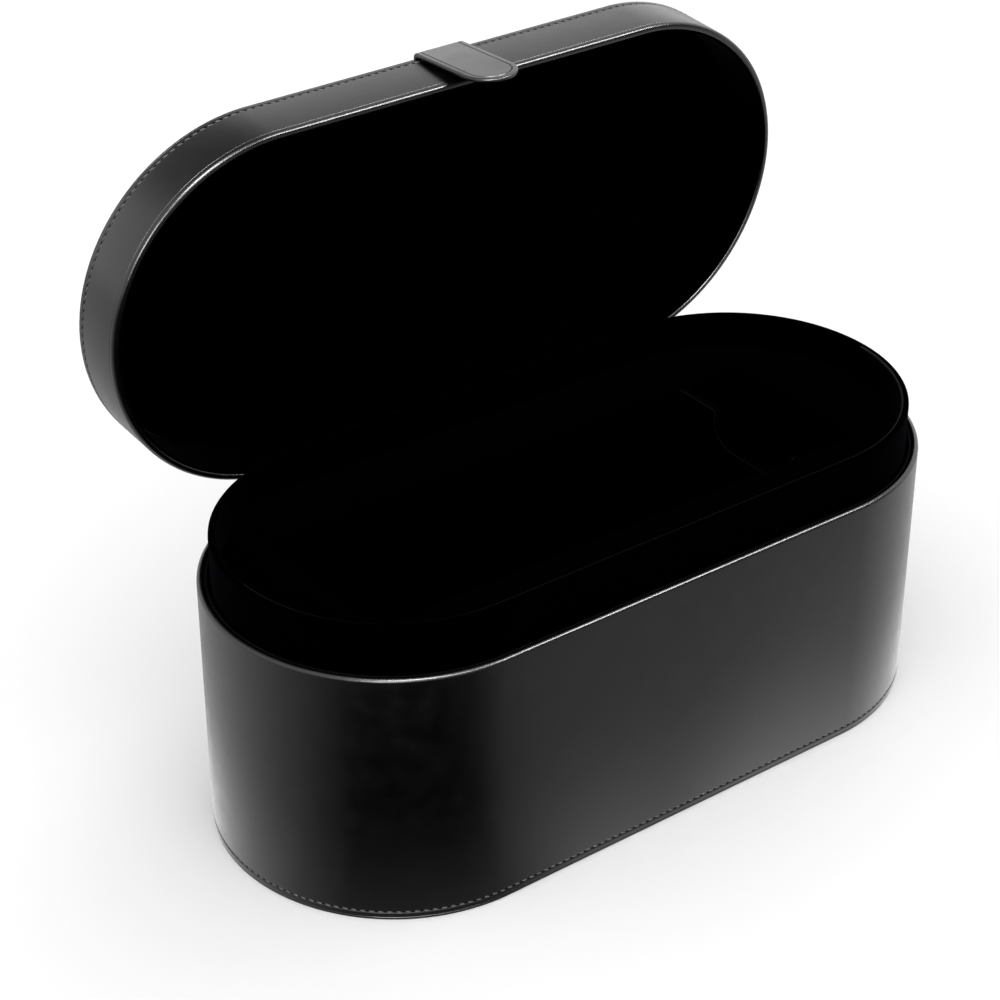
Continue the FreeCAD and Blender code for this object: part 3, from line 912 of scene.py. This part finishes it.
# a sunk ellipsoid in non-reflecting black: painted shade for a needle hole
def makeHole():
    startClean()
    bpy.ops.mesh.primitive_uv_sphere_add(segments=6, ring_count=4, radius=seam["hole"] / 2)
    hole = bpy.context.object
    bpy.ops.object.mode_set(mode="EDIT")
    bpy.ops.mesh.select_all(action="SELECT")
    bpy.ops.transform.resize(value=seam["holeShape"], center_override=(0, 0, 0))
    bpy.ops.object.mode_set(mode="OBJECT")
    return hole


def sewAlong(name, places):
    # places: (point, way along, way out) for each stitch; between each two sits a needle hole, a black blob
    # of painted shade
    stitch, hole = makeStitch(), makeHole()
    stitch.data.materials.append(sewingThread)
    hole.data.materials.append(paintedHoleShade)
    copies = []
    for point, along, out in places:
        up = along.cross(out)
        turn = Matrix((along, out, up)).transposed().to_4x4()
        between = point + along * (seam["pitch"] / 2) - out * (seam["proud"] * seam["sunk"])
        for source, place in ((stitch, point), (hole, between)):
            copy = bpy.data.objects.new(name, source.data.copy())
            copy.data.transform(Matrix.Translation(place) @ turn)
            scene.collection.objects.link(copy)
            copies.append(copy)
    bpy.data.objects.remove(stitch)
    bpy.data.objects.remove(hole)
    startClean()
    for copy in copies:
        copy.select_set(True)
    bpy.context.view_layer.objects.active = copies[0]
    bpy.ops.object.join()
    copies[0].name = name
    return copies[0]


def sewOblong(name, height, depth):
    radius = endRadius - depth + seam["proud"]
    lap = 4 * endCentre + 2 * math.pi * radius
    count = round(lap / seam["pitch"])
    places = []
    for number in range(count):
        point, out = placeOnOblong(number * lap / count, radius)
        places.append((point + Vector((0, 0, height)), Vector((-out.y, out.x, 0)), out))
    return sewAlong(name, places)


def sewClasp():
    size = clasp
    inset = size["rolledEdge"] + size["grooveWidth"]
    side = size["width"] / 2 - inset
    top = closedLidTop + size["thick"] - size["grooveDepth"] + seam["proud"]
    rootEnd = -endRadius + size["root"] - inset
    tipCentre = -endRadius - claspBend - size["reach"] + size["width"] / 2
    straight = rootEnd - tipCentre
    lap = 2 * straight + math.pi * side
    count = round(lap / (seam["pitch"] * seam["claspPitch"]))
    places = []
    out = Vector((0, 0, 1))
    for number in range(count + 1):
        travel = number * lap / count
        if travel < straight:
            point, along = Vector((-side, rootEnd - travel, top)), Vector((0, -1, 0))
        elif travel < lap - straight:
            angle = (travel - straight) / side
            point = Vector((-side * math.cos(angle), tipCentre - side * math.sin(angle), top))
            along = Vector((math.sin(angle), -math.cos(angle), 0))
        else:
            point, along = Vector((side, rootEnd - (lap - travel), top)), Vector((0, 1, 0))
        places.append((point, along, out))
    return finishClasp(sewAlong("claspStitches", places), False)


addPiece(sewOblong("bodyStitches", bodyWall["seamUp"], bodyWall["channelDepth"]), "case_body")
lidStitches = swingOpen(sewOblong("lidStitches", closedLidTop - lid["seamDown"], lid["channelDepth"]))
addPiece(lidStitches, "lid")
claspStitches = sewClasp()
addPiece(claspStitches, None)
blendClasp(claspStitches)
print("sewing done")

# boards and metal keep the frame's own shapes
hiddenLooks = {
    greyBoard: ("base_board", "body_wall_board", "collar_board",
                "lid_top_board", "lid_wall_board", "clasp_core"),
    blackVelvet: ("insert_deck",),    # the deck's board is covered on its cut edges too
    platedSteel: ("strike_plate",),
    nickelMagnet: ("clasp_magnet",),
}
for material, names in hiddenLooks.items():
    for name in names:
        frame["nodes"][name].data.materials.clear()
        frame["nodes"][name].data.materials.append(material)

view = {
    "azimuth": math.radians(-36.515),
    "elevation": math.radians(31.65),
    "distance": 1.318,
    "right": -0.0337,
    "up": 0.1100,
    "lens": 95.78,
}


def aimAt(around, above):
    # radians round from the front towards +X, and above the floor
    level = math.cos(above)
    return Vector((math.sin(around) * level, -math.cos(around) * level, math.sin(above)))


def makeCamera():
    around, above = view["azimuth"], view["elevation"]
    back = aimAt(around, above)
    right = Vector((math.cos(around), math.sin(around), 0))
    up = back.cross(right)
    place = back * view["distance"] + right * view["right"] + up * view["up"]
    bpy.ops.object.camera_add(location=place, rotation=(math.pi / 2 - above, 0, around))
    camera = bpy.context.object
    camera.data.lens = view["lens"]
    camera.data.sensor_width = 36
    scene.camera = camera


studio = {
    "floorTone": 0.85,
    "floorCloud": 1.03,        # how much paler its palest parts are
    "floorSize": 8.0,
    "skyLight": 1.5,
    "bowRadius": 1.5,          # the soft boxes stand in a bow round the front, this far from the case
    "fillSize": 3.0,
    "fillHeight": 2.6,
    "fillPower": 14.0,
    "cardDrop": 2 * mm,        # under the floor
    "cardGlow": 0.97,
    "cardNear": 0.55,          # extra glow of the card close to the case, as a share of its own tone
    "cardNearFloor": 0.26,     # and the part of it that even the dark side has
    "cardNearReach": 0.10,     # and how far out it goes
}

# how light the floor card is, by the way a spot lies from the case's left end:
# degrees from the front towards +X, and the tone
cardTones = [
    (-180, 0.62), (-150, 0.84), (-125, 0.96), (-100, 0.74), (-75, 0.36), (-56, 0.06), (-44, 0.0),
    (-10, 0.0), (6, 0.12), (22, 0.42), (36, 0.56), (48, 0.58), (58, 0.88),
    (80, 0.95), (115, 0.80), (180, 0.62),
]


def makeFloor():
    startClean()
    bpy.ops.mesh.primitive_plane_add(size=studio["floorSize"])
    floor = bpy.context.object
    floor.name = "floor"
    material, nodes, links, shader, place = newMaterial("paleFloor")
    cloudy = addNoise(nodes, links, place, 3.0)
    dark = (studio["floorTone"],) * 3
    light = (studio["floorTone"] * studio["floorCloud"],) * 3
    links.new(addTint(nodes, links, cloudy, dark, light), shader.inputs["Base Color"])
    shader.inputs["Roughness"].default_value = 0.9
    shader.inputs["Specular IOR Level"].default_value = 0.0
    floor.data.materials.append(material)
    floor.visible_glossy = False


def makeCard():
    # a card under the floor that only reflections see: pale all round and dark towards the front left
    startClean()
    bpy.ops.mesh.primitive_plane_add(size=studio["floorSize"], location=(0, 0, -studio["cardDrop"]))
    card = bpy.context.object
    card.name = "reflectionCard"
    bpy.ops.object.transform_apply()
    card.visible_camera = False
    card.visible_diffuse = False
    card.visible_shadow = False
    material = bpy.data.materials.new("cardGlow")
    material.use_nodes = True
    nodes, links = material.node_tree.nodes, material.node_tree.links
    nodes.clear()
    light = nodes.new("ShaderNodeEmission")
    links.new(addCardGlow(nodes, links), light.inputs["Strength"])
    output = nodes.new("ShaderNodeOutputMaterial")
    links.new(light.outputs[0], output.inputs["Surface"])
    card.data.materials.append(material)


def addToneRamp(nodes, links, turn):
    ramp = nodes.new("ShaderNodeValToRGB")
    links.new(turn, ramp.inputs["Fac"])
    ramp.color_ramp.interpolation = "CARDINAL"
    while len(ramp.color_ramp.elements) > 1:
        ramp.color_ramp.elements.remove(ramp.color_ramp.elements[0])
    for number, (degrees, tone) in enumerate(cardTones):
        where = degrees / 360 + 0.5
        if number:
            stop = ramp.color_ramp.elements.new(where)
        else:
            stop = ramp.color_ramp.elements[0]
            stop.position = where
        stop.color = (tone, tone, tone, 1)
    return ramp.outputs["Color"]


def addCardGlow(nodes, links):
    place = nodes.new("ShaderNodeTexCoord")
    split = nodes.new("ShaderNodeSeparateXYZ")
    links.new(place.outputs["Object"], split.inputs[0])

    def sums(operation, first, second=None):
        return addMath(nodes, links, operation, first, second)

    # the tone by the way a spot lies from the left end
    across, depth = split.outputs["X"], split.outputs["Y"]
    angle = sums("ARCTAN2", sums("ADD", across, endCentre), sums("MULTIPLY", depth, -1.0))
    tone = addToneRamp(nodes, links, sums("ADD", sums("DIVIDE", angle, 2 * math.pi), 0.5))
    # and how close it lies to the foot of the case: 1 against it, 0 at the reach
    beyond = sums("MAXIMUM", sums("SUBTRACT", sums("ABSOLUTE", across), endCentre), 0.0)
    away = sums("SQRT", sums("ADD", sums("MULTIPLY", beyond, beyond), sums("MULTIPLY", depth, depth)))
    gap = sums("SUBTRACT", away, endRadius)
    nearness = sums("MAXIMUM", sums("SUBTRACT", 1.0, sums("DIVIDE", gap, studio["cardNearReach"])), 0.0)
    near = sums("MULTIPLY", nearness, nearness)
    share = sums("ADD", sums("MULTIPLY", near, studio["cardNear"]), studio["cardGlow"])
    return sums("ADD", sums("MULTIPLY", tone, share), sums("MULTIPLY", near, studio["cardNearFloor"]))


# darker quarters of the sky: degrees round from the front towards +X, degrees above the floor, how far from
# there the shade starts and where it is deepest, and the share of light left
skyShades = [
    (180, 50, 38.7, 9.9, 0.26),
    (140, 76, 24, 8, 0.20),
    (40, 8, 40, 20, 0.12),
]


def makeSky():
    world = bpy.data.worlds.new("studio")
    scene.world = world
    world.use_nodes = True
    nodes, links = world.node_tree.nodes, world.node_tree.links
    nodes.clear()
    place = nodes.new("ShaderNodeTexCoord")
    light = nodes.new("ShaderNodeBackground")
    light.inputs["Strength"].default_value = studio["skyLight"]
    left = None
    for around, above, edge, core, share in skyShades:
        toward = nodes.new("ShaderNodeVectorMath")
        toward.operation = "DOT_PRODUCT"
        toward.inputs[1].default_value = aimAt(math.radians(around), math.radians(above))
        links.new(place.outputs["Generated"], toward.inputs[0])
        fall = nodes.new("ShaderNodeMapRange")
        fall.interpolation_type = "SMOOTHSTEP"
        fall.inputs["From Min"].default_value = math.cos(math.radians(edge))
        fall.inputs["From Max"].default_value = math.cos(math.radians(core))
        fall.inputs["To Min"].default_value = 1.0
        fall.inputs["To Max"].default_value = share
        links.new(toward.outputs["Value"], fall.inputs["Value"])
        shade = fall.outputs["Result"]
        left = addMath(nodes, links, "MULTIPLY", left, shade) if left else shade
    links.new(left, light.inputs["Color"])
    output = nodes.new("ShaderNodeOutputWorld")
    links.new(light.outputs[0], output.inputs["Surface"])


# each soft box: degrees round from the front towards +X, degrees above the floor, wide, high, power
bowBoxes = {
    "rightBox": (45, 46, 0.75, 0.30, 30.0),
    "middleBox": (-15, 44, 0.75, 0.30, 30.0),
    "farBox": (-34, 58, 0.45, 0.30, 22.0),
    "leftBox": (-43, 21, 0.45, 0.55, 17.0),
}


def makeSoftbox(name, place, wide, high, power):
    aim = Vector((0, 0, rimTop)) - place
    bpy.ops.object.light_add(type="AREA", location=place, rotation=aim.to_track_quat("-Z", "Y").to_euler())
    softbox = bpy.context.object
    softbox.name = name
    softbox.data.shape = "RECTANGLE"
    softbox.data.size = wide
    softbox.data.size_y = high
    softbox.data.energy = power
    return softbox


def makeLights():
    for name, (around, above, wide, high, power) in bowBoxes.items():
        way = aimAt(math.radians(around), math.radians(above))
        box = makeSoftbox(name, way * studio["bowRadius"] + Vector((0, 0, rimTop)), wide, high, power)
        box.visible_diffuse = False     # these are for the highlights along the rims
    above, wide = Vector((0, 0, studio["fillHeight"])), studio["fillSize"]
    fill = makeSoftbox("fillBox", above, wide, wide, studio["fillPower"])
    fill.visible_glossy = False         # and this one is for the floor


makeFloor()
makeCard()
makeSky()
makeLights()
makeCamera()
scene.view_settings.view_transform = "Standard"
print("stage, light and camera set")
